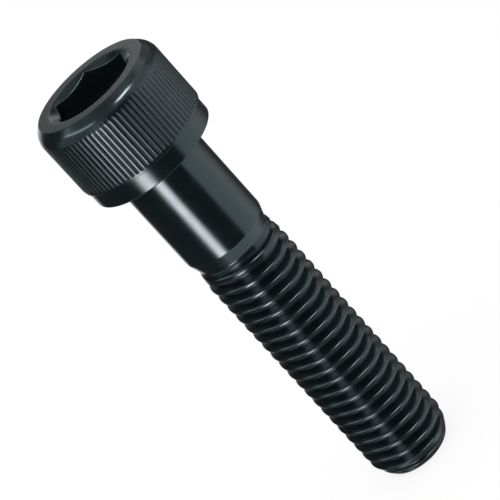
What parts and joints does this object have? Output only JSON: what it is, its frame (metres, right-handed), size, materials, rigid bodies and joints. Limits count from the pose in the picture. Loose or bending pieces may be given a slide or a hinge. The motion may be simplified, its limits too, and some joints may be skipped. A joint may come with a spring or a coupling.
{
  "type": "hex socket cap screw",
  "caption": "Socket head cap screw in black-oxide steel: knurled cylindrical head with a hexagon socket, plain shank, shoulder and partly threaded body with a chamfered point, its thread left-hand as pictured",
  "frame": {"origin": "centre of the flat face of the point, which the screw stands on", "axes": "+Z along the screw's axis toward the head, +X and +Y across it"},
  "size_m": [0.0182, 0.0182, 0.0664],
  "materials": {
    "black_oxide_steel": "black oxide on alloy steel, thin oil film, semi-gloss"
  },
  "bodies": {
    "root": {"cap_screw": "black_oxide_steel"}
  },
  "joints": []
}
